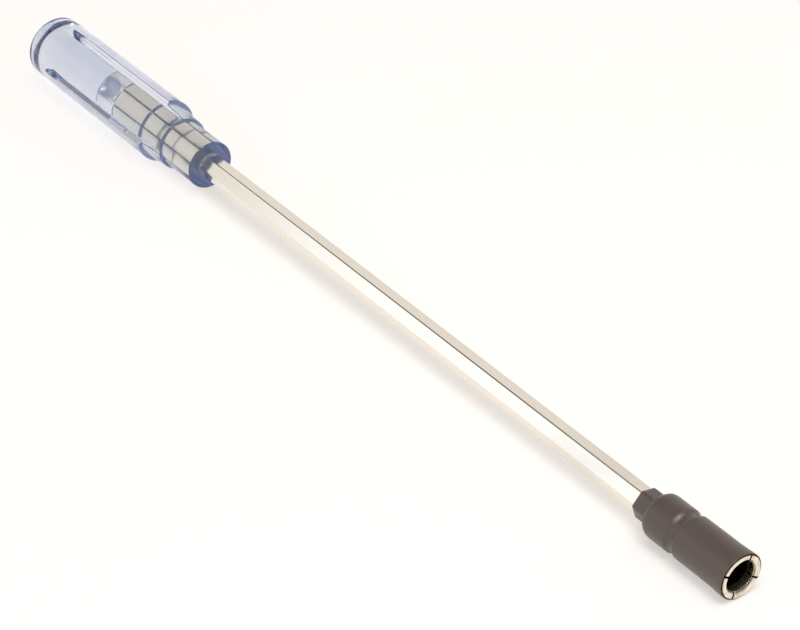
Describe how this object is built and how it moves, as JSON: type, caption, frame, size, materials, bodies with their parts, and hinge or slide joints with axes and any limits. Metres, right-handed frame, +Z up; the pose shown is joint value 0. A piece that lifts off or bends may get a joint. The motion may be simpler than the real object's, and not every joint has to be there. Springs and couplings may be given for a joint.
{
  "type": "valve cap installation tool",
  "caption": "Long hand tool for tyre valve caps: clear fluted handle, plated hex shank and a sprung, serrated collet socket under a shrink-fit sleeve.",
  "frame": {"origin": "centre of the bounding box at floor level, with the tool lying down as in the picture", "axes": "+X along the tool from the butt of the handle to the collet's mouth (the tool slopes down 0.75 degrees towards the mouth), +Z up from the floor, +Y across"},
  "size_m": [0.3109, 0.019, 0.0197],
  "materials": {
    "handle": "clear pale blue acetate, polished",
    "shank": "bright warm nickel plate on steel bar",
    "socket": "turned, nickel plated",
    "fingers": "turned, nickel plated, bright at the mouth",
    "sleeve": "matte black shrink tube"
  },
  "bodies": {
    "tool": {"handle": "handle", "hex_shank": "shank", "socket_body": "socket", "shrink_sleeve": "sleeve"},
    "finger_1": {"finger_1": "fingers"},
    "finger_2": {"finger_2": "fingers"},
    "finger_3": {"finger_3": "fingers"},
    "finger_4": {"finger_4": "fingers"}
  },
  "joints": [
    {"name": "finger_1_spring", "type": "hinge", "parent": "tool", "child": "finger_1", "pos_m": [0.13657, -0.0045, 0.00486], "axis": [-0.0122, 0.3355, -0.942], "range_deg": [0, 0.5], "stiffness_Nm_per_rad": 8},
    {"name": "finger_2_spring", "type": "hinge", "parent": "tool", "child": "finger_2", "pos_m": [0.13653, 0.0016, 0.00196], "axis": [0.0044, 0.9421, 0.3354], "range_deg": [0, 0.5], "stiffness_Nm_per_rad": 8},
    {"name": "finger_3_spring", "type": "hinge", "parent": "tool", "child": "finger_3", "pos_m": [0.13661, 0.0045, 0.00806], "axis": [0.0122, -0.3355, 0.942], "range_deg": [0, 0.5], "stiffness_Nm_per_rad": 8},
    {"name": "finger_4_spring", "type": "hinge", "parent": "tool", "child": "finger_4", "pos_m": [0.13665, -0.0016, 0.01096], "axis": [-0.0044, -0.9421, -0.3354], "range_deg": [0, 0.5], "stiffness_Nm_per_rad": 8}
  ]
}
